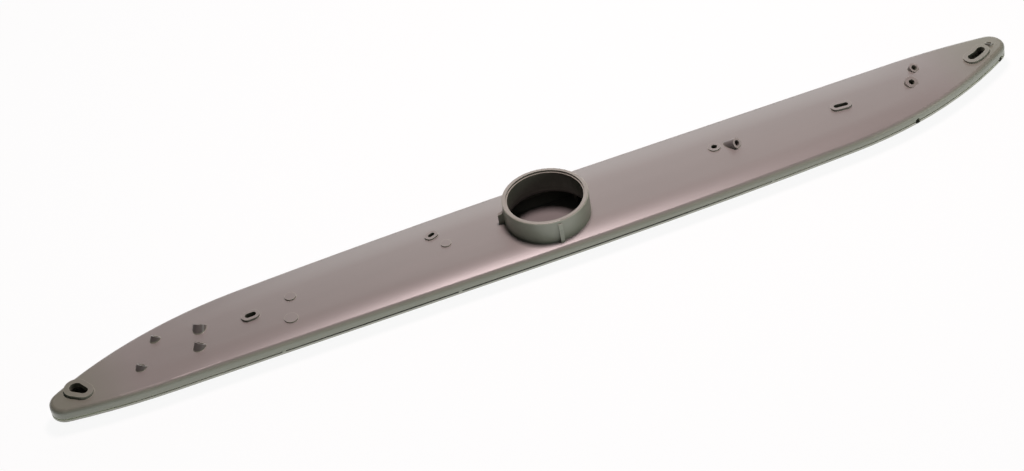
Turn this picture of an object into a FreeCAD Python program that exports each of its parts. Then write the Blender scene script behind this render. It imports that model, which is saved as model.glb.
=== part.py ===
"""Dishwasher spray arm: two welded moulded half shells with a hub collar and water jets.

Frame: +X along the arm, +Z up, origin under the hub axis on the resting underside.
Sizes are millimetres and degrees.
"""
import FreeCAD, Part
import math
import os
import Sketcher

Vec = FreeCAD.Vector
UP = Vec(0, 0, 1)
NO_INSET = ("0", 0.0)

# Driving sizes of the two shells
SIZES = {
    # plan of the arm, one side of it; the other side is the same turned by half a turn
    "arm_length": 468.2,
    "shoulder_x": 140.5,
    "shoulder_y": 28.6,
    "nose_radius": 7.4,
    "nose_offset": 1.4,
    "bow_radius": 2750.0,
    "taper_angle": 3.25,
    "tip_radius": 312.0,
    # section through the arm
    "body_height": 11.35,
    "lower_height": 6.1,
    "crown_radius": 333.0,
    "wall": 1.8,
    "edge_round": 2.0,
    "bevel_height": 5.1,
    "bevel_width": 5.8,
    # open weld seam between the shells and the tabs that bridge it
    "groove_height": 0.7,
    "groove_depth": 0.8,
    "tab_width": 1.6,
    # hub collar, its lip, its socket and the wider bore under it, its lug and its rib
    "hub_radius": 19.6,
    "hub_height": 10.6,
    "lip_width": 1.75,
    "ledge_drop": 0.9,
    "ledge_width": 0.65,
    "socket_length": 7.6,
    "undercut_wall": 1.3,
    "rim_round": 0.5,
    "lug_angle": 165.0,
    "lug_reach": 2.6,
    "lug_height": 5.0,
    "lug_slope": 1.4,
    "lug_thickness": 1.6,
    "rib_angle": 266.0,
    "rib_reach": 1.6,
    "rib_tip_reach": 0.5,
    "rib_height": 9.0,
    "rib_thickness": 1.8,
    # upright vanes inside the arm beside the hub well
    "vane_angle": 32.0,
    "vane_start": 21.0,
    "vane_length": 5.0,
    "vane_thickness": 1.6,
    "vane_gap": 0.3,
    # jets
    "jet_depth": 8.0,
    "jet_bore": 2.8,
    "blank_rise": 0.5,
    "slot_margin": 1.5,
    "side_jet_drop": 4.9,
}

# Places along the arm are given as the distance in from a tip: plus from the right one, minus from
# the left one. They then keep to the arm when its length changes.


# Round jets: place and side of the mouth, rise over the crown, lean from upright, its heading, size
ROUND_JETS = {
    "jet_flat": (150.2, 1.8, 0.6, 0.0, 0.0, 5.8),
    "jet_stub": (140.9, -3.1, 2.0, 56.0, -55.0, 5.0),
    "jet_far": (45.8, 3.1, 1.1, 30.0, -60.0, 4.8),
    "jet_near": (52.1, -5.6, 1.0, 25.0, -70.0, 6.3),
    "jet_end": (7.0, 1.6, 0.35, 25.0, 60.0, 4.2),
    "jet_back_a": (-72.7, 12.1, 1.2, 42.0, 57.0, 6.0),
    "jet_back_b": (-69.5, 0.2, 1.3, 40.0, 38.0, 5.3),
    "jet_back_c": (-53.3, 15.6, 0.8, 40.0, 38.0, 4.3),
    "jet_back_d": (-42.9, 1.0, 0.8, 40.0, 38.0, 4.9),
}

# Blank round bosses that carry no bore: place, side and outer size
BLANK_BOSSES = {
    "blank_inner": (-186.8, 5.6, 4.8),
    "blank_far": (-113.9, 9.4, 5.2),
    "blank_near": (-109.8, -4.3, 6.2),
}

# Slot jets: place and side of the middle, heading, slot length, slot width, rise over the crown
SLOT_JETS = {
    "slot_small": (-183.1, 14.3, 20.0, 3.5, 1.9, 0.45),
    "slot_left": (-94.4, 6.4, 0.0, 5.2, 2.8, 1.0),
    "slot_right": (87.6, -3.0, -10.0, 6.9, 2.4, 1.0),
}

# Egg-shaped jet near the left tip: its wide end, heading of the narrow end, and its form
EGG_JET = {
    "egg_place": -13.2,
    "egg_side": 2.2,
    "egg_heading": -53.0,
    "egg_wide": 2.8,
    "egg_narrow": 1.9,
    "egg_spread": 4.6,
    "egg_margin": 2.4,
    "egg_rise": 1.35,
}

# Kidney-shaped jet near the right tip: middle of the bent slot and its size
KIDNEY_JET = {
    "kidney_place": 16.1,
    "kidney_side": -3.1,
    "kidney_heading": 23.0,
    "kidney_bend": 14.4,
    "kidney_span": 28.0,
    "kidney_half_width": 1.9,
    "kidney_margin": 2.1,
    "kidney_rise": 1.0,
}

# Where tabs bridge the seam along the near side, and where jets leave the near side at the seam
TAB_PLACES = {"tab_a": -101.0, "tab_b": -182.0, "tab_c": 136.0}
SIDE_JETS = {"side_jet_a": 60.5, "side_jet_b": 5.3}

JET_FIELDS = ("place", "side", "rise", "lean", "heading", "size")
BLANK_FIELDS = ("place", "side", "size")
SLOT_FIELDS = ("place", "side", "heading", "length", "width", "rise")

doc = FreeCAD.newDocument("spray_arm")


def named_sizes():
    """Gathers every driving size under one name each."""
    sizes = dict(SIZES)
    sizes.update(EGG_JET)
    sizes.update(KIDNEY_JET)
    sizes.update(TAB_PLACES)
    sizes.update(SIDE_JETS)
    tables = ((ROUND_JETS, JET_FIELDS), (BLANK_BOSSES, BLANK_FIELDS), (SLOT_JETS, SLOT_FIELDS))
    for table, fields in tables:
        for name, values in table.items():
            for field, number in zip(fields, values):
                sizes[f"{name}_{field}"] = number
    return sizes


def fill_sheet(sizes):
    """Writes the sizes into the sheet, one row each, with the name as alias."""
    sheet = doc.addObject("Spreadsheet::Sheet", "sizes")
    for row, (alias, number) in enumerate(sizes.items(), start=1):
        sheet.set(f"A{row}", alias)
        sheet.set(f"B{row}", str(number))
        sheet.setAlias(f"B{row}", alias)
    doc.recompute()
    return sheet


sheet = fill_sheet(named_sizes())


def size(alias):
    return float(sheet.get(alias))


def sized(alias):
    """Pairs a size's expression with its number."""
    return f"sizes.{alias}", size(alias)


def spot(name, level):
    """The point of a jet or boss at a level, found from its tip."""
    place = size(f"{name}_place")
    return Vec(math.copysign(size("arm_length") / 2, place) - place, size(f"{name}_side"), level)


def origin_feature(body, role):
    return next(f for f in body.Origin.OriginFeatures if f.Role == role)


def turned(angle, axis=UP):
    return FreeCAD.Rotation(axis, angle)


def plan_geometry(inset):
    """Centres, radii and angles of one side of the plan, set in from the outer edge by inset."""
    nose_x = size("arm_length") / 2 - size("nose_radius")
    nose_y = size("nose_offset")
    shoulder_x, shoulder_y = size("shoulder_x"), size("shoulder_y")
    nose_r, bow_r, tip_r = size("nose_radius"), size("bow_radius"), size("tip_radius")
    taper = math.radians(size("taper_angle"))
    # The sabre arc touches the left nose and is level at the shoulder
    across, down = nose_x - shoulder_x, shoulder_y + nose_y
    sabre_r = (across ** 2 + down ** 2 - nose_r ** 2) / (2 * (down - nose_r))
    sabre = Vec(-shoulder_x, shoulder_y - sabre_r, 0)
    bow = Vec(-shoulder_x, shoulder_y - bow_r, 0)
    # The straight flank leaves the bow at the taper angle
    along, square = Vec(math.cos(taper), -math.sin(taper), 0), Vec(math.sin(taper), math.cos(taper), 0)
    flank = bow + square * bow_r
    nose = Vec(nose_x, nose_y, 0)
    # The tip arc touches the flank and the right nose
    depth = (flank - nose).dot(square)
    lead = math.sqrt((tip_r - nose_r) ** 2 - (tip_r - depth) ** 2)
    flank_end = flank + along * ((nose - flank).dot(along) - lead)
    tip = flank_end - square * tip_r
    return {
        "nose": nose, "sabre": sabre, "bow": bow, "tip": tip,
        "nose_r": nose_r - inset, "sabre_r": sabre_r - inset, "bow_r": bow_r - inset,
        "tip_r": tip_r - inset,
        "chord_angle": math.atan2(nose_y, nose_x),
        "tip_angle": math.atan2(nose.y - tip.y, nose.x - tip.x),
        "flank_angle": math.pi / 2 - taper,
        "sabre_angle": math.atan2(-nose.y - sabre.y, -nose.x - sabre.x),
        "flank_start": flank - square * inset, "flank_end": flank_end - square * inset,
    }


def arc(centre, radius, start, end):
    return Part.ArcOfCircle(Part.Circle(centre, UP, radius), start, end)


def datum(sketch, kind, places, value, expression):
    """Adds a dimension and ties it to the sheet."""
    index = sketch.addConstraint(Sketcher.Constraint(kind, *places, value))
    sketch.setExpression(f"Constraints[{index}]", expression)


def draw_half_plan(sketch, inset):
    """Draws one side of the plan from tip to tip, closed by the line through the hub axis."""
    less = f" - ({inset[0]})"
    g = plan_geometry(inset[1])
    half_turn = math.pi
    right_end = g["nose"] + Vec(math.cos(g["chord_angle"]), math.sin(g["chord_angle"]), 0) * g["nose_r"]
    right, tip, flank, bow, sabre, left, chord = sketch.addGeometry([
        arc(g["nose"], g["nose_r"], g["chord_angle"], g["tip_angle"]),
        arc(g["tip"], g["tip_r"], g["tip_angle"], g["flank_angle"]),
        Part.LineSegment(g["flank_end"], g["flank_start"]),
        arc(g["bow"], g["bow_r"], g["flank_angle"], half_turn / 2),
        arc(g["sabre"], g["sabre_r"], half_turn / 2, g["sabre_angle"]),
        arc(-g["nose"], g["nose_r"], g["sabre_angle"], half_turn + g["chord_angle"]),
        Part.LineSegment(-right_end, right_end),
    ], False)
    start, end, centre, origin = 1, 2, 3, (-1, 1)
    for before, after in ((right, tip), (tip, flank), (flank, bow), (bow, sabre), (sabre, left)):
        sketch.addConstraint(Sketcher.Constraint("Tangent", before, end, after, start))
    sketch.addConstraint([
        Sketcher.Constraint("Coincident", left, end, chord, start),
        Sketcher.Constraint("Coincident", chord, end, right, start),
        Sketcher.Constraint("Equal", left, right),
        Sketcher.Constraint("Symmetric", right, centre, left, centre, *origin),
        Sketcher.Constraint("PointOnObject", right, centre, chord),
        Sketcher.Constraint("PointOnObject", left, centre, chord),
        Sketcher.Constraint("Vertical", sabre, centre, sabre, start),
    ])
    datum(sketch, "Radius", (right,), g["nose_r"], "sizes.nose_radius" + less)
    datum(sketch, "Radius", (tip,), g["tip_r"], "sizes.tip_radius" + less)
    datum(sketch, "Radius", (bow,), g["bow_r"], "sizes.bow_radius" + less)
    datum(sketch, "Angle", (flank,), half_turn - math.radians(size("taper_angle")),
          "180 - sizes.taper_angle")
    datum(sketch, "DistanceX", (*origin, right, centre), g["nose"].x,
          "sizes.arm_length / 2 - sizes.nose_radius")
    datum(sketch, "DistanceY", (*origin, right, centre), g["nose"].y, "sizes.nose_offset")
    datum(sketch, "DistanceX", (sabre, start, *origin), size("shoulder_x"), "sizes.shoulder_x")
    datum(sketch, "DistanceY", (*origin, sabre, start), size("shoulder_y") - inset[1],
          "sizes.shoulder_y" + less)


def draw_crown(sketch, inset):
    """Draws what lies over the crowned top: an arc about the arm's length, closed well above it."""
    radius = size("crown_radius") - inset[1]
    centre_z = size("body_height") - size("crown_radius")
    half_width = 1.5 * size("shoulder_y")
    lean = math.asin(half_width / radius)
    edge_z = centre_z + radius * math.cos(lean)
    roof_z = 2 * size("body_height")
    quarter = math.pi / 2
    left, right = Vec(-half_width, edge_z, 0), Vec(half_width, edge_z, 0)
    left_roof, right_roof = Vec(-half_width, roof_z, 0), Vec(half_width, roof_z, 0)
    crown, rise, roof, fall = sketch.addGeometry([
        arc(Vec(0, centre_z, 0), radius, quarter - lean, quarter + lean),
        Part.LineSegment(left, left_roof),
        Part.LineSegment(left_roof, right_roof),
        Part.LineSegment(right_roof, right),
    ], False)
    sketch.addConstraint([
        Sketcher.Constraint("Coincident", crown, 2, rise, 1),
        Sketcher.Constraint("Coincident", rise, 2, roof, 1),
        Sketcher.Constraint("Coincident", roof, 2, fall, 1),
        Sketcher.Constraint("Coincident", fall, 2, crown, 1),
        Sketcher.Constraint("Vertical", rise),
        Sketcher.Constraint("Vertical", fall),
        Sketcher.Constraint("Horizontal", roof),
        Sketcher.Constraint("PointOnObject", crown, 3, -2),
    ])
    datum(sketch, "Radius", (crown,), radius, f"sizes.crown_radius - ({inset[0]})")
    datum(sketch, "DistanceY", (crown, 3, -1, 1), -centre_z, "sizes.crown_radius - sizes.body_height")
    datum(sketch, "DistanceX", (-1, 1, fall, 1), half_width, "1.5 * sizes.shoulder_y")
    datum(sketch, "DistanceY", (-1, 1, fall, 1), roof_z, "2 * sizes.body_height")


def new_sketch(body, name, role):
    sketch = body.newObject("Sketcher::SketchObject", name)
    sketch.AttachmentSupport = [(origin_feature(body, role), "")]
    sketch.MapMode = "FlatFace"
    return sketch


def rounded(body, name, radius_expression, picks):
    """Rounds the edges of the body's tip that picks says yes to."""
    doc.recompute()
    base = body.Tip
    names = [f"Edge{i}" for i, edge in enumerate(base.Shape.Edges, start=1) if picks(edge)]
    fillet = body.newObject("PartDesign::Fillet", name)
    fillet.Base = (base, names)
    fillet.setExpression("Radius", radius_expression)
    return fillet


def heights(edge):
    """Lowest and highest points of an edge."""
    levels = [point.z for point in edge.discretize(9)]
    return min(levels), max(levels)


def half_plan(body, name, inset, level):
    """A sketch of the half plan, set in by inset, at a level given as an expression."""
    plan = new_sketch(body, name, "XY_Plane")
    plan.setExpression("AttachmentOffset.Base.z", level)
    draw_half_plan(plan, inset)
    return plan


def add_side(body, plan, height):
    side = body.newObject("PartDesign::Pad", f"{body.Name}_side")
    side.Profile = plan
    side.setExpression("Length", height)
    return side


def add_other_half(body, features):
    """Repeats one side of the arm, turned by half a turn about the hub axis."""
    both = body.newObject("PartDesign::PolarPattern", f"{body.Name}_both_sides")
    both.Originals = features
    both.Axis = (origin_feature(body, "Z_Axis"), [""])
    both.Angle = 360
    both.Occurrences = 2
    body.Tip = both


def arm_form(name, inset, bottom, top, crowned=False):
    """A solid in the arm's plan between two levels, given as expressions, crowned where asked."""
    body = doc.addObject("PartDesign::Body", name)
    plan = half_plan(body, f"{name}_plan", inset, bottom)
    add_other_half(body, [add_side(body, plan, f"({top}) - ({bottom})")])
    if crowned:
        arch = new_sketch(body, f"{name}_arch", "YZ_Plane")
        draw_crown(arch, inset)
        crown = body.newObject("PartDesign::Pocket", f"{name}_crown")
        crown.Profile = arch
        crown.Midplane = True
        crown.setExpression("Length", "sizes.arm_length + 20")
    return body


def tray_form(name, inset, floor, bevel_width, bevel_height, top):
    """A tray's outer or inner form: a low straight side over a bevel down to its floor."""
    body = doc.addObject("PartDesign::Body", name)
    floor_inset = (f"{inset[0]} + {bevel_width[0]}", inset[1] + bevel_width[1])
    shoulder = f"{floor} + {bevel_height[0]}"
    floor_plan = half_plan(body, f"{name}_floor_plan", floor_inset, floor)
    side_plan = half_plan(body, f"{name}_side_plan", inset, shoulder)
    side = add_side(body, side_plan, f"({top}) - ({shoulder})")
    bevel = body.newObject("PartDesign::AdditiveLoft", f"{name}_bevel")
    bevel.Profile = floor_plan
    bevel.Sections = [side_plan]
    bevel.Ruled = True
    add_other_half(body, [side, bevel])
    return body


def add_collar(body):
    """Stands the hub collar on the crown, solid until its bore is cut, and rounds its rim."""
    collar = body.newObject("PartDesign::AdditiveCylinder", "hub_collar")
    collar.setExpression("Radius", "sizes.hub_radius")
    collar.setExpression("Height", "sizes.body_height + sizes.hub_height - sizes.lower_height")
    collar.setExpression("Placement.Base.z", "sizes.lower_height")
    rim_level = size("body_height") + size("hub_height")
    rounded(body, "collar_rim", "sizes.rim_round", lambda edge: heights(edge)[0] > rim_level - 0.01)


def upper_form():
    """The upper shell's outer form: side wall, crowned top, rounded top edge and collar."""
    body = arm_form("upper_form", NO_INSET, "sizes.lower_height", "sizes.body_height", crowned=True)
    mid_height = (size("body_height") + size("lower_height")) / 2
    rounded(body, "top_edge", "sizes.edge_round", lambda edge: heights(edge)[0] > mid_height)
    add_collar(body)
    return body


def box(name, length, width, height):
    """A box whose three sizes are expressions."""
    block = doc.addObject("Part::Box", name)
    block.setExpression("Length", length)
    block.setExpression("Width", width)
    block.setExpression("Height", height)
    return block


def fuse(name, pieces):
    joined = doc.addObject("Part::MultiFuse", name)
    joined.Shapes = pieces
    joined.Refine = False
    return joined


def cut(name, base, tool):
    trimmed = doc.addObject("Part::Cut", name)
    trimmed.Base, trimmed.Tool = base, tool
    trimmed.Refine = False
    return trimmed


def cylinder(name, radius, height, base_z):
    """An upright cylinder on the hub axis; all three sizes are expressions."""
    drum = doc.addObject("Part::Cylinder", name)
    drum.setExpression("Radius", radius)
    drum.setExpression("Height", height)
    drum.setExpression("Placement.Base.z", base_z)
    return drum


def seam_groove():
    """What is cut away for the open seam: a slab less the weld land and less the bridging tabs."""
    slab = box("seam_slab", "sizes.arm_length + 20", "4 * sizes.shoulder_y", "sizes.groove_height")
    slab.setExpression("Placement.Base.x", "-sizes.arm_length / 2 - 10")
    slab.setExpression("Placement.Base.y", "-2 * sizes.shoulder_y")
    slab.setExpression("Placement.Base.z", "sizes.lower_height")
    land = arm_form("weld_land", sized("groove_depth"), "sizes.lower_height - 1",
                    "sizes.lower_height + sizes.groove_height + 1")
    kept = [land]
    for name, place in TAB_PLACES.items():
        tip = "-sizes.arm_length / 2" if place < 0 else "sizes.arm_length / 2"
        for turn, sign in (("near", ""), ("far", "-")):
            tab = box(f"{name}_{turn}", "sizes.tab_width", "2 * sizes.shoulder_y", "sizes.groove_height")
            tab.setExpression("Placement.Base.x", f"{sign}({tip} - sizes.{name}) - sizes.tab_width / 2")
            tab.setExpression("Placement.Base.z", "sizes.lower_height")
            if turn == "near":
                tab.setExpression("Placement.Base.y", "-2 * sizes.shoulder_y")
            kept.append(tab)
    return cut("seam_groove", slab, fuse("seam_kept", kept))


def hub_bore():
    """The stepped bore of the collar: a lip, the socket, and a wider bore down to the water way."""
    lip = cylinder("lip_bore", "sizes.hub_radius - sizes.lip_width", "sizes.ledge_drop + 5",
                   "sizes.body_height + sizes.hub_height - sizes.ledge_drop")
    socket = cylinder("socket_bore", "sizes.hub_radius - sizes.lip_width - sizes.ledge_width",
                      "sizes.body_height + sizes.hub_height", "sizes.lower_height")
    undercut = cylinder("undercut_bore", "sizes.hub_radius - sizes.undercut_wall",
                        "sizes.body_height + sizes.hub_height - sizes.ledge_drop - sizes.socket_length", "0")
    return [lip, socket, undercut]


def draw_closed(sketch, points):
    """Draws straight edges from point to point and closes them."""
    corners = [Vec(x, y, 0) for x, y in points]
    edges = sketch.addGeometry([Part.LineSegment(a, b) for a, b in zip(corners, corners[1:] + corners[:1])],
                               False)
    for before, after in zip(edges, edges[1:] + edges[:1]):
        sketch.addConstraint(Sketcher.Constraint("Coincident", before, 2, after, 1))
    return edges


def collar_fin(name, reach, tip_reach, height, tip_height):
    """An upright fin on the collar's outside, with its profile drawn from the hub axis outwards.

    reach and height belong to the foot and the collar side, tip_reach and tip_height to the top.
    """
    profile = doc.addObject("Sketcher::SketchObject", f"{name}_profile")
    root = size("hub_radius") - size("lip_width") / 2
    out, tip_out = size("hub_radius") + reach[1], size("hub_radius") + tip_reach[1]
    foot = size("body_height") - size("wall")
    top, tip_top = size("body_height") + height[1], size("body_height") + tip_height[1]
    edges = draw_closed(profile, [(root, foot), (out, foot), (tip_out, tip_top), (root, top)])
    datums = (("sizes.hub_radius - sizes.lip_width / 2", "sizes.body_height - sizes.wall", root, foot),
              (f"sizes.hub_radius + {reach[0]}", "sizes.body_height - sizes.wall", out, foot),
              (f"sizes.hub_radius + {tip_reach[0]}", f"sizes.body_height + {tip_height[0]}", tip_out,
               tip_top),
              ("sizes.hub_radius - sizes.lip_width / 2", f"sizes.body_height + {height[0]}", root, top))
    for edge, (x_expression, y_expression, x, y) in zip(edges, datums):
        datum(profile, "DistanceX", (-1, 1, edge, 1), x, x_expression)
        datum(profile, "DistanceY", (-1, 1, edge, 1), y, y_expression)
    heading = turned(size(f"{name}_angle"))
    profile.Placement = FreeCAD.Placement(Vec(), heading * turned(90, Vec(1, 0, 0)))
    fin = doc.addObject("Part::Extrusion", name)
    fin.Base = profile
    fin.DirMode = "Normal"
    fin.Solid = True
    fin.Symmetric = True
    fin.setExpression("LengthFwd", f"sizes.{name}_thickness")
    return fin


def collar_fins():
    lug_top = ("(sizes.lug_height + sizes.lug_slope)", size("lug_height") + size("lug_slope"))
    lug = collar_fin("lug", sized("lug_reach"), sized("lug_reach"), lug_top, sized("lug_height"))
    rib = collar_fin("rib", sized("rib_reach"), sized("rib_tip_reach"), sized("rib_height"),
                     sized("rib_height"))
    return [lug, rib]


def lean_axis(name):
    """Direction that a round jet points in."""
    lean, heading = math.radians(size(f"{name}_lean")), math.radians(size(f"{name}_heading"))
    return Vec(math.sin(lean) * math.cos(heading), math.sin(lean) * math.sin(heading), math.cos(lean))


def leaning_cylinder(name, radius, height, top, axis):
    """A cylinder whose upper face is centred on top and whose axis is given."""
    drum = doc.addObject("Part::Cylinder", name)
    drum.setExpression("Radius", radius)
    drum.setExpression("Height", height)
    doc.recompute([drum])
    drum.Placement = FreeCAD.Placement(top - axis * drum.Height.Value, FreeCAD.Rotation(UP, axis))
    return drum


def round_jets():
    """Stubs of the round jets and their bores."""
    stubs, bores = [], []
    for name in ROUND_JETS:
        axis = lean_axis(name)
        mouth = spot(name, size("body_height") + size(f"{name}_rise"))
        depth = "sizes.jet_depth"
        stubs.append(leaning_cylinder(name, f"sizes.{name}_size / 2", depth, mouth, axis))
        bores.append(leaning_cylinder(f"{name}_bore", "sizes.jet_bore / 2", f"{depth} + 2",
                                      mouth + axis, axis))
    return stubs, bores


def blank_bosses():
    """Low round bosses for jets that this arm leaves closed."""
    bosses = []
    for name in BLANK_BOSSES:
        top = spot(name, size("body_height") + size("blank_rise"))
        bosses.append(leaning_cylinder(name, f"sizes.{name}_size / 2",
                                       "sizes.blank_rise + sizes.wall", top, UP))
    return bosses


def draw_egg(sketch, wide, narrow, spread):
    """Draws two round ends of given radii, spread apart along X, joined by straight flanks."""
    slant = math.acos((wide[1] - narrow[1]) / spread[1])
    out = Vec(math.cos(slant), math.sin(slant), 0)
    out_low = Vec(out.x, -out.y, 0)
    far = Vec(spread[1], 0, 0)
    big, upper, small, lower = sketch.addGeometry([
        arc(Vec(), wide[1], slant, 2 * math.pi - slant),
        Part.LineSegment(far + out * narrow[1], out * wide[1]),
        arc(far, narrow[1], -slant, slant),
        Part.LineSegment(out_low * wide[1], far + out_low * narrow[1]),
    ], False)
    for before, after in ((big, lower), (lower, small), (small, upper), (upper, big)):
        sketch.addConstraint(Sketcher.Constraint("Tangent", before, 2, after, 1))
    sketch.addConstraint(Sketcher.Constraint("Coincident", big, 3, -1, 1))
    sketch.addConstraint(Sketcher.Constraint("PointOnObject", small, 3, -1))
    datum(sketch, "Radius", (big,), wide[1], wide[0])
    datum(sketch, "Radius", (small,), narrow[1], narrow[0])
    datum(sketch, "DistanceX", (-1, 1, small, 3), spread[1], spread[0])


def draw_kidney(sketch, bend, half_width, span):
    """Draws a slot bent round the origin, centred under it, with round ends."""
    half_span = math.radians(span / 2)
    middle = -math.pi / 2
    first, last = middle - half_span, middle + half_span
    ends = [Vec(math.cos(a), math.sin(a), 0) * bend[1] for a in (first, last)]
    outer, right, inner, left = sketch.addGeometry([
        arc(Vec(), bend[1] + half_width[1], first, last),
        arc(ends[1], half_width[1], last, last + math.pi),
        arc(Vec(), bend[1] - half_width[1], first, last),
        arc(ends[0], half_width[1], first + math.pi, first + 2 * math.pi),
    ], False)
    sketch.addConstraint([
        Sketcher.Constraint("Tangent", outer, 2, right, 1),
        Sketcher.Constraint("Tangent", right, 2, inner, 2),
        Sketcher.Constraint("Tangent", inner, 1, left, 1),
        Sketcher.Constraint("Tangent", left, 2, outer, 1),
        Sketcher.Constraint("Coincident", outer, 3, -1, 1),
        Sketcher.Constraint("Symmetric", left, 3, right, 3, -2),
    ])
    datum(sketch, "Radius", (outer,), bend[1] + half_width[1], f"{bend[0]} + {half_width[0]}")
    datum(sketch, "Radius", (right,), half_width[1], half_width[0])
    datum(sketch, "DistanceX", (-1, 1, right, 3), ends[1].x, f"{bend[0]} * sin(sizes.kidney_span / 2)")


def extruded(name, sketch, height, middle, heading, level):
    """Raises a sketch by height from level, turned to heading about the given middle."""
    sketch.Placement = FreeCAD.Placement(Vec(middle.x, middle.y, level), turned(heading))
    block = doc.addObject("Part::Extrusion", name)
    block.Base = sketch
    block.DirMode = "Normal"
    block.Solid = True
    block.setExpression("LengthFwd", height)
    return block


def plan_sketch(name):
    return doc.addObject("Sketcher::SketchObject", f"{name}_plan")


def wide_jet(name, draw, margin, middle, heading, rise):
    """A shaped jet: a raised boss with an opening of like form through it.

    draw takes a sketch and a margin, as expression and number, and draws the form that much larger.
    """
    root = size("body_height") - size("wall")
    boss_plan, opening_plan = plan_sketch(f"{name}_boss"), plan_sketch(f"{name}_opening")
    draw(boss_plan, margin)
    draw(opening_plan, ("0", 0.0))
    boss = extruded(name, boss_plan, f"{rise} + sizes.wall", middle, heading, root)
    opening = extruded(f"{name}_opening", opening_plan, f"{rise} + 2 * sizes.wall", middle, heading,
                       root - size("wall") / 2)
    return boss, opening


def slot_jet(name):
    """A straight slot with round ends."""
    def draw(sketch, margin):
        radius = (f"sizes.{name}_width / 2 + {margin[0]}", size(f"{name}_width") / 2 + margin[1])
        spread = (f"sizes.{name}_length - sizes.{name}_width",
                  size(f"{name}_length") - size(f"{name}_width"))
        draw_egg(sketch, radius, radius, spread)

    heading = size(f"{name}_heading")
    reach = (size(f"{name}_length") - size(f"{name}_width")) / 2
    first_end = spot(name, 0) - turned(heading).multVec(Vec(reach, 0, 0))
    return wide_jet(name, draw, sized("slot_margin"), first_end, heading, f"sizes.{name}_rise")


def kidney_jet():
    """The bent slot near the right tip."""
    def draw(sketch, margin):
        half_width = (f"sizes.kidney_half_width + {margin[0]}", size("kidney_half_width") + margin[1])
        draw_kidney(sketch, sized("kidney_bend"), half_width, size("kidney_span"))

    heading = size("kidney_heading")
    bend_centre = spot("kidney", 0) + turned(heading).multVec(Vec(0, size("kidney_bend"), 0))
    return wide_jet("kidney_jet", draw, sized("kidney_margin"), bend_centre, heading, "sizes.kidney_rise")


def egg_jet():
    """The egg-shaped opening near the left tip, in a boss of like form."""
    def draw(sketch, margin):
        wide = (f"sizes.egg_wide + {margin[0]}", size("egg_wide") + margin[1])
        narrow = (f"sizes.egg_narrow + {margin[0]}", size("egg_narrow") + margin[1])
        draw_egg(sketch, wide, narrow, sized("egg_spread"))

    return wide_jet("egg_jet", draw, sized("egg_margin"), spot("egg", 0), size("egg_heading"),
                    "sizes.egg_rise")


def side_jets():
    """Level bores out of the near side at the seam, square to the sabre curve."""
    bores = []
    plan = plan_geometry(0)
    sabre = -plan["sabre"]
    level = size("body_height") - size("side_jet_drop")
    for name in SIDE_JETS:
        place_x = size("arm_length") / 2 - size(name)
        across = place_x - sabre.x
        point = Vec(place_x, sabre.y - math.sqrt(plan["sabre_r"] ** 2 - across ** 2), 0)
        out = (point - sabre).normalize()
        top = Vec(point.x, point.y, level) + out
        bores.append(leaning_cylinder(name, "sizes.jet_bore / 2", "sizes.wall + 2", top, out))
    return bores


def vanes():
    """Upright vanes under the crown beside the hub well, one on each side of it."""
    fins = []
    for name, half_turn in (("vane_right", 0), ("vane_left", 180)):
        fin = box(name, "sizes.vane_length", "sizes.vane_thickness",
                  "sizes.body_height - 1.5 * sizes.wall - sizes.vane_gap")
        heading = turned(size("vane_angle") + half_turn)
        corner = Vec(size("vane_start"), -size("vane_thickness") / 2, 0)
        fin.Placement = FreeCAD.Placement(heading.multVec(corner), heading)
        fin.setExpression("Placement.Base.z", "sizes.wall + sizes.vane_gap")
        fins.append(fin)
    return fins


def make_upper_shell(side_bores):
    """The upper shell: form, collar, fins and bosses, less its hollow, seam, bores and openings."""
    stubs, bores = round_jets()
    shaped = [slot_jet(name) for name in SLOT_JETS] + [kidney_jet(), egg_jet()]
    raised = [upper_form()] + collar_fins() + stubs + blank_bosses() + [boss for boss, _ in shaped]
    hollow = arm_form("upper_hollow", sized("wall"), "0", "sizes.body_height - sizes.wall", crowned=True)
    openings = hub_bore() + bores + [opening for _, opening in shaped] + side_bores
    skin = cut("upper_skin", fuse("upper_raised", raised), hollow)
    pierced = cut("upper_pierced", skin, fuse("upper_openings", openings))
    seamed = cut("upper_seamed", pierced, seam_groove())
    shell = fuse("upper_whole", [seamed] + vanes())
    shell.Label = "upper_shell"
    return shell


def inner_bevel(alias):
    """A side of the tray's inner bevel, which keeps the wall even behind the outer one."""
    width, height = size("bevel_width"), size("bevel_height")
    spare = (width + height - math.hypot(width, height)) / (width * height)
    w, h = "sizes.bevel_width", "sizes.bevel_height"
    less = f"sizes.wall * ({w} + {h} - sqrt({w} ^ 2 + {h} ^ 2)) / ({w} * {h})"
    return f"sizes.{alias} * (1 - {less})", size(alias) * (1 - size("wall") * spare)


def make_lower_shell(side_bores):
    """The lower shell: a shallow tray with bevelled flanks and an even wall, less the side bores."""
    form = tray_form("lower_form", NO_INSET, "0", sized("bevel_width"), sized("bevel_height"),
                     "sizes.lower_height")
    hollow = tray_form("lower_hollow", sized("wall"), "sizes.wall", inner_bevel("bevel_width"),
                       inner_bevel("bevel_height"), "sizes.lower_height + 1")
    tray = cut("lower_tray", form, hollow)
    shell = cut("lower_whole", tray, fuse("lower_openings", side_bores))
    shell.Label = "lower_shell"
    return shell


def check(shells):
    """Stops before anything is written if an object failed or a shell is not one valid solid."""
    for obj in doc.Objects:
        if "Invalid" in obj.State or "Error" in obj.State:
            raise RuntimeError(f"{obj.Name} failed: {obj.State}")
    for shell in shells:
        if shell.Shape.isNull() or not shell.Shape.isValid() or len(shell.Shape.Solids) != 1:
            raise RuntimeError(f"{shell.Label} is not one valid solid")


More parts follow.
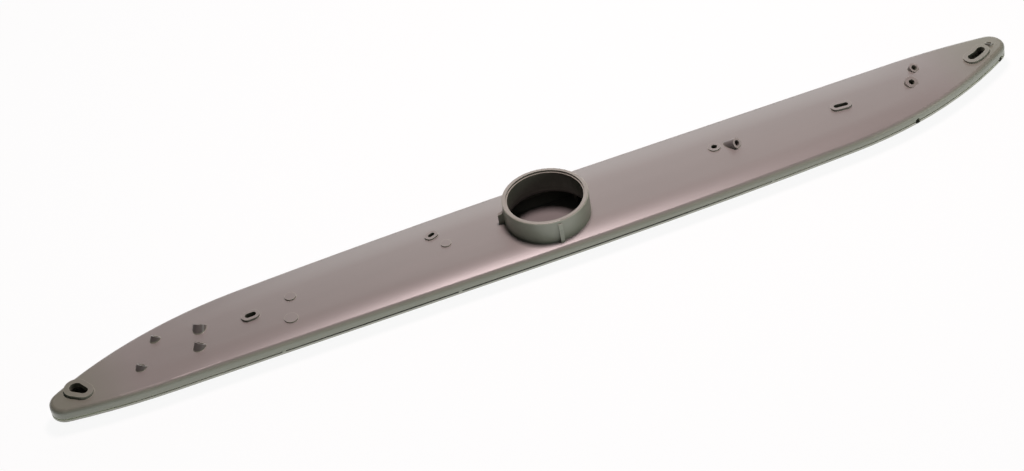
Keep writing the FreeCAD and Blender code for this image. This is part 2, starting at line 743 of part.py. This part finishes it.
side_bores = side_jets()
shells = [make_upper_shell(side_bores), make_lower_shell(side_bores)]
doc.recompute()
check(shells)
os.makedirs("parts", exist_ok=True)
for shell in shells:
    shell.Shape.exportStep(f"parts/{shell.Label}.step")
    volume_cm3 = shell.Shape.Volume / 1000
    print(f"{shell.Label}: {volume_cm3:.2f} cm3, {len(shell.Shape.Faces)} faces")
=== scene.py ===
"""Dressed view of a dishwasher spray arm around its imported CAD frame. Lengths are in metres."""
import math

import bpy
from mathutils import Matrix, Vector


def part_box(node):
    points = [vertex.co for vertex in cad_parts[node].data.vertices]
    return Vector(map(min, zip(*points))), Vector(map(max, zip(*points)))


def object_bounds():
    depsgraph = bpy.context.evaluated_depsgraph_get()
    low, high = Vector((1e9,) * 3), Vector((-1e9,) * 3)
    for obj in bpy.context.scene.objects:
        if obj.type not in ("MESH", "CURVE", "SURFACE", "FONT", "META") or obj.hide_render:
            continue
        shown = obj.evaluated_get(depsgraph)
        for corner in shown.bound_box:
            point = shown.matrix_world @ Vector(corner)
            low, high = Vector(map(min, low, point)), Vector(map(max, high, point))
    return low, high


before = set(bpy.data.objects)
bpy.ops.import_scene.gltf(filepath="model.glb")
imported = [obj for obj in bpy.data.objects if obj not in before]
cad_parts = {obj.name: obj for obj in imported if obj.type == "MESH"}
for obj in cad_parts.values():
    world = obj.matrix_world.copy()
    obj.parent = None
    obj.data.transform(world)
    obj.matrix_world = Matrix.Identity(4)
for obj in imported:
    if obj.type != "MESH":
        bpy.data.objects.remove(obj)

scene = bpy.context.scene
cad_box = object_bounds()


# The upper shell is one moulding in satin grey polypropylene: crowned top, collar and jets.
# Its skin has a fine spark-eroded grain, faint flow streaks along the arm and paler worn edges; its
# colours also carry painted light and shade.
# Node groups make its grain, its worn edges and the masks that tell its parts apart.
# The top colour is pinker as painted light from the lamp above, the wall colour greener as painted
# light from the floor.
UPPER_LIT_GREY = (0.205, 0.195, 0.183)
UPPER_SHADE = (0.198, 0.211, 0.169)
UPPER_ROUGHNESS = 0.35
ARM_LENGTH = cad_box[1][0] - cad_box[0][0]
ARM_HALF_WIDTH = cad_box[1][1]


def node(tree, kind, **settings):
    """A new node with its settings."""
    made = tree.nodes.new(kind)
    for key, value in settings.items():
        setattr(made, key, value)
    return made


def feed(tree, source, target):
    """Links one socket to another."""
    tree.links.new(source, target)


def new_group(name, inputs, outputs):
    """An empty shader node group of float sockets, with the ends to wire inside it."""
    group = bpy.data.node_groups.new(name, "ShaderNodeTree")
    for label, value in inputs.items():
        socket = group.interface.new_socket(label, in_out="INPUT", socket_type="NodeSocketFloat")
        socket.default_value = value
    for label in outputs:
        group.interface.new_socket(label, in_out="OUTPUT", socket_type="NodeSocketFloat")
    return group, node(group, "NodeGroupInput").outputs, node(group, "NodeGroupOutput").inputs


def math_node(tree, operation, *values):
    """A Math node fed with numbers and sockets."""
    made = node(tree, "ShaderNodeMath", operation=operation)
    for socket, value in zip(made.inputs, values):
        if isinstance(value, (int, float)):
            socket.default_value = value
        else:
            feed(tree, value, socket)
    return made.outputs[0]


def product(tree, first, *factors):
    """A chain of Math nodes that multiplies numbers and sockets."""
    for factor in factors:
        first = math_node(tree, "MULTIPLY", first, factor)
    return first


def all_but(tree, share):
    """What is left of one after the share."""
    return math_node(tree, "SUBTRACT", 1.0, share)


def ramp(tree, value, span, peak=1.0):
    """Nothing up to the span's start, then rising to the peak at its end."""
    made = node(tree, "ShaderNodeMapRange")
    feed(tree, value, made.inputs["Value"])
    made.inputs["From Min"].default_value, made.inputs["From Max"].default_value = span
    made.inputs["To Max"].default_value = peak
    return made.outputs[0]


def axes_of(tree, vector):
    """The X, Y and Z sockets of a vector."""
    split = node(tree, "ShaderNodeSeparateXYZ")
    feed(tree, vector, split.inputs[0])
    return split.outputs["X"], split.outputs["Y"], split.outputs["Z"]


def mix_colour(tree, share, first, second, blend="MIX"):
    """Mixes two colours, each a tuple or a socket, by a share."""
    made = node(tree, "ShaderNodeMix", data_type="RGBA", blend_type=blend)
    # A Mix node has sockets for each data type: 6 and 7 are the colours that go in, 2 comes out
    sockets = made.inputs[0], made.inputs[6], made.inputs[7]
    for socket, value in zip(sockets, (share, first, second)):
        if isinstance(value, (int, float)):
            socket.default_value = value
        elif isinstance(value, tuple):
            socket.default_value = (*value, 1.0)
        else:
            feed(tree, value, socket)
    return made.outputs[2]


def noise(tree, place, scale, detail):
    """Smooth noise about one half."""
    made = node(tree, "ShaderNodeTexNoise")
    feed(tree, place, made.inputs["Vector"])
    feed(tree, scale, made.inputs["Scale"])
    made.inputs["Detail"].default_value = detail
    return made.outputs["Fac"]


# The streaks are the grain's noise drawn out along the arm
GRAIN_SCALE = 2600.0
GRAIN_DETAIL = 3.0
STREAK_SCALE = 60.0
STREAK_DETAIL = 4.0
STREAK_STRETCH = (0.12, 1.0, 1.0)


def build_moulded_grain():
    """Fine grain and long flow streaks: a height for bump, and a shade round one half."""
    group, start, end = new_group("moulded_grain", {"Grain": GRAIN_SCALE, "Streak": STREAK_SCALE},
                                  ("Height", "Shade"))
    place = node(group, "ShaderNodeTexCoord").outputs["Object"]
    stretch = node(group, "ShaderNodeMapping")
    stretch.inputs["Scale"].default_value = STREAK_STRETCH
    feed(group, place, stretch.inputs["Vector"])
    feed(group, noise(group, place, start["Grain"], GRAIN_DETAIL), end["Height"])
    feed(group, noise(group, stretch.outputs[0], start["Streak"], STREAK_DETAIL), end["Shade"])
    return group


# An edge is worn where its face and its softened face look different ways
EDGE_WEAR = 1.8
EDGE_RADIUS = 0.0007
EDGE_SAMPLES = 4


def build_edge_mask():
    """One on sharp outward edges, falling to nothing on the faces beside them."""
    group, start, end = new_group("edge_mask", {"Strength": EDGE_WEAR}, ("Mask",))
    bevel = node(group, "ShaderNodeBevel", samples=EDGE_SAMPLES)
    bevel.inputs["Radius"].default_value = EDGE_RADIUS
    true_facing = node(group, "ShaderNodeNewGeometry").outputs["Normal"]
    likeness = node(group, "ShaderNodeVectorMath", operation="DOT_PRODUCT")
    feed(group, bevel.outputs[0], likeness.inputs[0])
    feed(group, true_facing, likeness.inputs[1])
    turned_away = product(group, all_but(group, likeness.outputs["Value"]), start["Strength"])
    feed(group, math_node(group, "MINIMUM", turned_away, 1.0), end["Mask"])
    return group


# Course of the half width from one tip to the other, as shares of the length and of the greatest
HALF_WIDTHS = ((0.0, 0.0), (0.017, 0.26), (0.041, 0.446), (0.073, 0.652), (0.116, 0.849),
               (0.158, 0.964), (0.201, 1.0), (0.286, 0.99), (0.372, 0.959), (0.5, 0.874),
               (0.628, 0.757), (0.885, 0.519), (0.959, 0.388), (1.0, 0.05))


def inward_from_edge(group, along, y):
    """How far a point lies inside the plan's edge. One half of the plan is the other turned."""
    course = node(group, "ShaderNodeFloatCurve")
    points = course.mapping.curves[0].points
    points[0].location, points[1].location = HALF_WIDTHS[0], HALF_WIDTHS[-1]
    for share in HALF_WIDTHS[1:-1]:
        points.new(*share)
    course.mapping.update()
    feed(group, math_node(group, "ADD", along, 0.5), course.inputs["Value"])
    edge = product(group, course.outputs[0], ARM_HALF_WIDTH)
    return math_node(group, "SUBTRACT", edge, math_node(group, "ABSOLUTE", y))


# The crown lies under CROWN_TOP and rolls off near its edge, but not towards the tips
CROWN_TOP = 0.0117
TOP_FACING = 0.7
ROLL_WIDTH = 0.014
ROLL_SLOPE = 0.29
ROLL_FADE = (0.16, 0.205)


def roll_off(group, start, inward, from_hub, facing_z, z):
    """Height that curves down over the last stretch of the crown before the plan's edge."""
    near_edge = math_node(group, "SUBTRACT", start["Width"], inward)
    near_edge = math_node(group, "MAXIMUM", near_edge, 0.0)
    near_edge = math_node(group, "MINIMUM", near_edge, start["Width"])
    # The slope grows evenly towards the edge, so the drop is half the bend times the square
    bend = math_node(group, "DIVIDE", start["Slope"], start["Width"])
    drop = product(group, math_node(group, "POWER", near_edge, 2.0), bend)
    on_top = math_node(group, "GREATER_THAN", facing_z, TOP_FACING)
    on_crown = math_node(group, "LESS_THAN", z, CROWN_TOP)
    off_tips = all_but(group, ramp(group, from_hub, ROLL_FADE))
    return product(group, drop, product(group, on_top, on_crown, off_tips), -0.5)


# The way that the jets of the right blade lean, and how nearly their mouths look that way
JET_LEAN = (0.475, -0.68, 0.56)
MOUTH_FACING = (0.7, 0.9)


def jet_mouths(group, facing, x):
    """One where a face looks the way that the jets of its own blade lean."""
    leaning = product(group, facing[0], JET_LEAN[0])
    leaning = math_node(group, "MULTIPLY_ADD", facing[1], JET_LEAN[1], leaning)
    leaning = product(group, leaning, math_node(group, "SIGN", x))
    leaning = math_node(group, "MULTIPLY_ADD", facing[2], JET_LEAN[2], leaning)
    return ramp(group, leaning, MOUTH_FACING)


# The seam groove stands on the lower shell. Three tabs bridge it, placed from the hub along the
# near side, plus to the left, and again on the far side, turned by half a turn.
SEAM_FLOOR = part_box("lower_shell")[1][2]
SEAM_GAP = 0.0007
SEAM_MARGIN = 0.00005
SEAM_TABS = (0.1331, 0.0521, -0.0981)
TAB_REACH = 0.001
# The groove carries no painted light at the x below, and painted light comes in with the distance
# from there
SEAM_PLAIN_X = -0.03
SEAM_LIGHT_FADE = (0.075, 0.13)
SEAM_LIGHT_GAIN = 1.7


def seam_painted_light(group, along, x, z):
    """Painted light in the seam groove that lifts its shade, away from the hub and off the tabs."""
    half_gap = SEAM_GAP / 2
    in_groove = math_node(group, "COMPARE", z, SEAM_FLOOR + half_gap, half_gap + SEAM_MARGIN)
    for tab in SEAM_TABS:
        on_tab = math_node(group, "COMPARE", along, tab / ARM_LENGTH, TAB_REACH / ARM_LENGTH)
        in_groove = product(group, in_groove, all_but(group, on_tab))
    away = math_node(group, "ABSOLUTE", math_node(group, "SUBTRACT", x, SEAM_PLAIN_X))
    return product(group, in_groove, ramp(group, away, SEAM_LIGHT_FADE, SEAM_LIGHT_GAIN))


# What is further in than INNER_WALL and lower than CHAMBER_TOP counts as inside the blades and gets
# painted shade.
# That takes in the flat underside and the inner part of the flanks as well.
INNER_WALL = 0.003
CHAMBER_TOP = 0.0101
BORE_REACH = 0.0183
BORE_SHARE = 0.45


def painted_inside_shade(group, inward, x, y, z):
    """Where painted shade goes: one inside the blades and on the underside, less in the collar's
    bore.
    """
    within = math_node(group, "GREATER_THAN", inward, INNER_WALL)
    chamber = product(group, within, math_node(group, "LESS_THAN", z, CHAMBER_TOP))
    reach = product(group, x, x)
    reach = math_node(group, "MULTIPLY_ADD", y, y, reach)
    in_bore = math_node(group, "LESS_THAN", reach, BORE_REACH ** 2)
    return math_node(group, "MAXIMUM", chamber, product(group, in_bore, BORE_SHARE))


# Jets stand above the crown beyond the hub, and the rim is what stands highest
HUB_REACH = 0.026
RIM_FOOT = 0.0175
# Both tips get painted shade: they take the wall colour and are darkened, the left one by the
# spread more and the right one less
TIP_FADE = (0.195, 0.226)
TIP_SHADE = 0.14
TIP_SHADE_SPREAD = 0.04


def build_arm_zones():
    """Masks for the parts of the arm, and a height that falls away towards the plan's edge."""
    group, start, end = new_group(
        "arm_zones", {"Width": ROLL_WIDTH, "Slope": ROLL_SLOPE},
        ("Height", "Tips", "TipShade", "Jets", "Mouths", "Rim", "Seam", "Inside"))
    x, y, z = axes_of(group, node(group, "ShaderNodeTexCoord").outputs["Object"])
    facing = axes_of(group, node(group, "ShaderNodeNewGeometry").outputs["Normal"])
    from_hub = math_node(group, "ABSOLUTE", x)
    along = product(group, x, math_node(group, "SIGN", y))
    along = math_node(group, "DIVIDE", along, ARM_LENGTH)
    inward = inward_from_edge(group, along, y)

    # The tips are greener and darker: painted shade.
    tips = ramp(group, from_hub, TIP_FADE)
    blade = math_node(group, "SIGN", x)
    tip_shade = math_node(group, "MULTIPLY_ADD", blade, -TIP_SHADE_SPREAD, TIP_SHADE)
    above_crown = math_node(group, "GREATER_THAN", z, CROWN_TOP)
    jets = product(group, above_crown, math_node(group, "GREATER_THAN", from_hub, HUB_REACH))
    results = {
        "Height": roll_off(group, start, inward, from_hub, facing[2], z),
        "Tips": tips,
        "TipShade": product(group, tips, tip_shade),
        "Jets": jets,
        "Mouths": product(group, jet_mouths(group, facing, x), jets),
        "Rim": math_node(group, "GREATER_THAN", z, RIM_FOOT),
        "Seam": seam_painted_light(group, along, x, z),
        "Inside": painted_inside_shade(group, inward, x, y, z),
    }
    for label, result in results.items():
        feed(group, result, end[label])
    return group


moulded_grain = build_moulded_grain()
edge_mask = build_edge_mask()
arm_zones = build_arm_zones()


def placed(tree, group, **values):
    """Places a node group in a material with the material's own values."""
    made = node(tree, "ShaderNodeGroup", node_tree=group)
    for label, value in values.items():
        made.inputs[label].default_value = value
    return made.outputs


def tinted(colour, share):
    """A colour made darker or paler."""
    return tuple(share * part for part in colour)


# A wall turns into a top between these two ways of facing, and slants are what lies between
WALL_TO_TOP = (0.6, 0.98)
SLANT_GAIN = 3.0
STREAK_SHADE = 0.16
STREAK_GLOSS = 0.12
# Worn edges are paler and the rim has a painted highlight; jet flanks get painted shade, their
# mouths a painted highlight, and the inside painted shade
RIM_TOP_HIGHLIGHT = 0.3
WORN_AND_HIGHLIGHT_SHARE = 1.6
JET_FLANK_SHADE_SHARE = 0.4
MOUTH_HIGHLIGHT_SHARE = 1.7
INSIDE_SHADE_SHARE = 0.75
INSIDE_SHADE_COLOUR = (0.02, 0.016, 0.015)
GRAIN_STRENGTH = 0.25
GRAIN_HEIGHT = 0.00008
PLASTIC_IOR = 1.49


def satin_plastic(name, painted_top_colour, painted_wall_colour, roughness):
    """Moulded polypropylene, its top and wall colours painted light and shade, with worn edges and
    painted marks on rim, jets, tips, seam and inside.
    """
    material = bpy.data.materials.new(name)
    material.use_nodes = True
    tree = material.node_tree
    shader = tree.nodes["Principled BSDF"]
    shader.inputs["IOR"].default_value = PLASTIC_IOR
    grain = placed(tree, moulded_grain, Grain=GRAIN_SCALE, Streak=STREAK_SCALE)
    edges = placed(tree, edge_mask, Strength=EDGE_WEAR)
    zones = placed(tree, arm_zones, Width=ROLL_WIDTH, Slope=ROLL_SLOPE)
    level = axes_of(tree, node(tree, "ShaderNodeTexCoord").outputs["Normal"])[2]
    upward = ramp(tree, level, WALL_TO_TOP)
    slant = product(tree, all_but(tree, level), level, SLANT_GAIN)

    # Tops and jets take the top colour and walls the wall colour: painted light and shade. The tips
    # take the wall colour too, as painted shade.
    top_share = math_node(tree, "MAXIMUM", upward, zones["Jets"])
    top_share = product(tree, top_share, all_but(tree, zones["Tips"]))
    colour = mix_colour(tree, top_share, painted_wall_colour, painted_top_colour)
    shade = math_node(tree, "MULTIPLY_ADD", grain["Shade"], STREAK_SHADE, 1.0 - STREAK_SHADE / 2)
    # The seam groove is made paler: painted light that lifts its shade.
    paler = math_node(tree, "ADD", 1.0, zones["Seam"])
    shade = product(tree, shade, all_but(tree, zones["TipShade"]), paler)
    colour = mix_colour(tree, 1.0, colour, shade, "MULTIPLY")

    # The rim's slants and top get a painted highlight, mixed in with the real wear on sharp edges.
    rim_highlight = math_node(tree, "MAXIMUM", slant, product(tree, upward, RIM_TOP_HIGHLIGHT))
    wear_and_rim_highlight = math_node(tree, "MAXIMUM", product(tree, rim_highlight, zones["Rim"]), edges["Mask"])
    colour = mix_colour(tree, wear_and_rim_highlight, colour, tinted(painted_wall_colour, WORN_AND_HIGHLIGHT_SHARE))
    # Jet flanks are darkened: painted shade.
    jet_flanks = product(tree, all_but(tree, zones["Mouths"]), zones["Jets"])
    jet_flank_shade = product(tree, slant, jet_flanks)
    colour = mix_colour(tree, jet_flank_shade, colour, tinted(painted_top_colour, JET_FLANK_SHADE_SHARE))
    # Jet mouths are paler: a painted highlight.
    mouth_highlight = product(tree, slant, zones["Mouths"])
    colour = mix_colour(tree, mouth_highlight, colour, tinted(painted_top_colour, MOUTH_HIGHLIGHT_SHARE))
    # Walls inside the blades and the bore are darkened: painted shade.
    inside_shade = product(tree, zones["Inside"], all_but(tree, upward), INSIDE_SHADE_SHARE)
    colour = mix_colour(tree, inside_shade, colour, INSIDE_SHADE_COLOUR)
    feed(tree, colour, shader.inputs["Base Color"])

    smoothest = roughness - STREAK_GLOSS / 2
    gloss = math_node(tree, "MULTIPLY_ADD", grain["Shade"], STREAK_GLOSS, smoothest)
    feed(tree, gloss, shader.inputs["Roughness"])

    rolled = node(tree, "ShaderNodeBump")
    rolled.inputs["Strength"].default_value = 1.0
    rolled.inputs["Distance"].default_value = 1.0
    feed(tree, zones["Height"], rolled.inputs["Height"])
    grained = node(tree, "ShaderNodeBump")
    grained.inputs["Strength"].default_value = GRAIN_STRENGTH
    grained.inputs["Distance"].default_value = GRAIN_HEIGHT
    feed(tree, grain["Height"], grained.inputs["Height"])
    feed(tree, rolled.outputs[0], grained.inputs["Normal"])
    feed(tree, grained.outputs[0], shader.inputs["Normal"])
    return material


def dress(node_name, material):
    """Gives a CAD node its material."""
    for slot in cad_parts[node_name].material_slots:
        slot.material = material


dress("upper_shell", satin_plastic("upper_polypropylene", UPPER_LIT_GREY, UPPER_SHADE, UPPER_ROUGHNESS))


# The lower shell is the shallow tray welded under the upper one along the open seam.
# It is moulded in the same grey, and shows as a strip under the seam and as the hub well's floor.
# The floor's colour is darker as painted shade, and the strip's paler as painted light from the
# floor.
LOWER_SHADED_GREY = (0.148, 0.138, 0.132)
LOWER_LIT_GREY = (0.3, 0.305, 0.26)
LOWER_ROUGHNESS = 0.46

dress("lower_shell", satin_plastic("lower_polypropylene", LOWER_SHADED_GREY, LOWER_LIT_GREY, LOWER_ROUGHNESS))


# The arm lies on a plain white floor, in a dim grey surround that shows white to the camera.
# The floor is white too, keeps a trace of shadow, and throws light up at the arm's walls.
FLOOR_HALF = 6.0
FLOOR_DROP = 0.0003
FLOOR_GREY = (0.8, 0.8, 0.8, 1.0)
FLOOR_ROUGHNESS = 0.9
GLOW_SHARE = 0.77
GLOW_SHARE_SEEN = 0.92
GLOW_BOUNCE = 1.55
GLOW_SEEN = 1.0
SURROUND_COLOUR = (0.48, 0.5, 0.47, 1.0)
SURROUND_STRENGTH = 0.1

floor_mesh = bpy.data.meshes.new("floor")
floor_mesh.from_pydata([(FLOOR_HALF * x, FLOOR_HALF * y, -FLOOR_DROP)
                        for x, y in ((-1, -1), (1, -1), (1, 1), (-1, 1))],
                       [], [(0, 1, 2, 3)])
floor = bpy.data.objects.new("floor", floor_mesh)
scene.collection.objects.link(floor)
floor_material = bpy.data.materials.new("floor_white")
floor_material.use_nodes = True
floor_tree = floor_material.node_tree
floor_shader = floor_tree.nodes["Principled BSDF"]
floor_shader.inputs["Base Color"].default_value = FLOOR_GREY
floor_shader.inputs["Roughness"].default_value = FLOOR_ROUGHNESS
seen = node(floor_tree, "ShaderNodeLightPath").outputs["Is Camera Ray"]
glow = node(floor_tree, "ShaderNodeEmission")
glow_strength = math_node(floor_tree, "MULTIPLY_ADD", seen, GLOW_SEEN - GLOW_BOUNCE, GLOW_BOUNCE)
feed(floor_tree, glow_strength, glow.inputs["Strength"])
blend = node(floor_tree, "ShaderNodeMixShader")
glow_share = math_node(floor_tree, "MULTIPLY_ADD", seen, GLOW_SHARE_SEEN - GLOW_SHARE, GLOW_SHARE)
feed(floor_tree, glow_share, blend.inputs[0])
feed(floor_tree, floor_shader.outputs[0], blend.inputs[1])
feed(floor_tree, glow.outputs[0], blend.inputs[2])
feed(floor_tree, blend.outputs[0], floor_tree.nodes["Material Output"].inputs["Surface"])
floor_mesh.materials.append(floor_material)

world = bpy.data.worlds.new("studio")
world.use_nodes = True
scene.world = world
world_tree = world.node_tree
surround = world_tree.nodes["Background"]
surround.inputs["Color"].default_value = SURROUND_COLOUR
surround.inputs["Strength"].default_value = SURROUND_STRENGTH
white = node(world_tree, "ShaderNodeBackground")
world_blend = node(world_tree, "ShaderNodeMixShader")
world_seen = node(world_tree, "ShaderNodeLightPath").outputs["Is Camera Ray"]
feed(world_tree, world_seen, world_blend.inputs[0])
feed(world_tree, surround.outputs[0], world_blend.inputs[1])
feed(world_tree, white.outputs[0], world_blend.inputs[2])
feed(world_tree, world_blend.outputs[0], world_tree.nodes["World Output"].inputs["Surface"])


# One small soft lamp hangs nearly overhead and makes the band of light on the near shoulder.
# A low fill from the right front lights the collar and walls, and a wide glow the far edge.
HUB_TOP = Vector((0.0, 0.0, 0.0111))


def area_lamp(name, direction, distance, width, energy, colour):
    """A square soft lamp that faces the hub from the given direction."""
    data = bpy.data.lights.new(name, "AREA")
    data.shape = "SQUARE"
    data.size = width
    data.energy = energy
    data.color = colour
    lamp = bpy.data.objects.new(name, data)
    heading = Vector(direction).normalized()
    lamp.location = HUB_TOP + heading * distance
    lamp.rotation_euler = heading.to_track_quat("Z", "Y").to_euler()
    scene.collection.objects.link(lamp)


area_lamp("high_lamp", direction=(0.13, 0.12, 0.98), distance=0.72, width=0.18,
          energy=6.2, colour=(1.0, 0.8, 0.81))
area_lamp("right_fill", direction=(0.72, -0.69, 0.06), distance=1.6, width=0.7,
          energy=7.5, colour=(0.95, 1.0, 0.92))
area_lamp("back_glow", direction=(0.35, 0.87, 0.36), distance=1.6, width=1.2,
          energy=8.0, colour=(0.93, 1.0, 0.99))


# The camera looks down the arm from its near left, held a little askew.
# Its place comes from a pinhole fit of the collar's rim and the arm's edges.
VIEW_TURN = math.radians(-16.0)
VIEW_ELEVATION = math.radians(39.99)
VIEW_ROLL = math.radians(-10.43)
VIEW_DISTANCE = 1.07255
AIM_POINT = Vector((-0.01798, 0.00081, 0.00613))
SENSOR_WIDTH = 36.0
FOCAL_LENGTH = 84.375
NEAR_CLIP = 0.05

camera_data = bpy.data.cameras.new("camera")
camera_data.sensor_width = SENSOR_WIDTH
camera_data.lens = FOCAL_LENGTH
camera_data.clip_start = NEAR_CLIP
camera = bpy.data.objects.new("camera", camera_data)
scene.collection.objects.link(camera)
view_turn = (Matrix.Rotation(VIEW_TURN, 4, "Z")
             @ Matrix.Rotation(math.pi / 2 - VIEW_ELEVATION, 4, "X")
             @ Matrix.Rotation(VIEW_ROLL, 4, "Z"))
view_back = view_turn.to_3x3() @ Vector((0, 0, 1))
camera.matrix_world = Matrix.Translation(AIM_POINT + view_back * VIEW_DISTANCE) @ view_turn
scene.camera = camera
scene.view_settings.view_transform = "Standard"
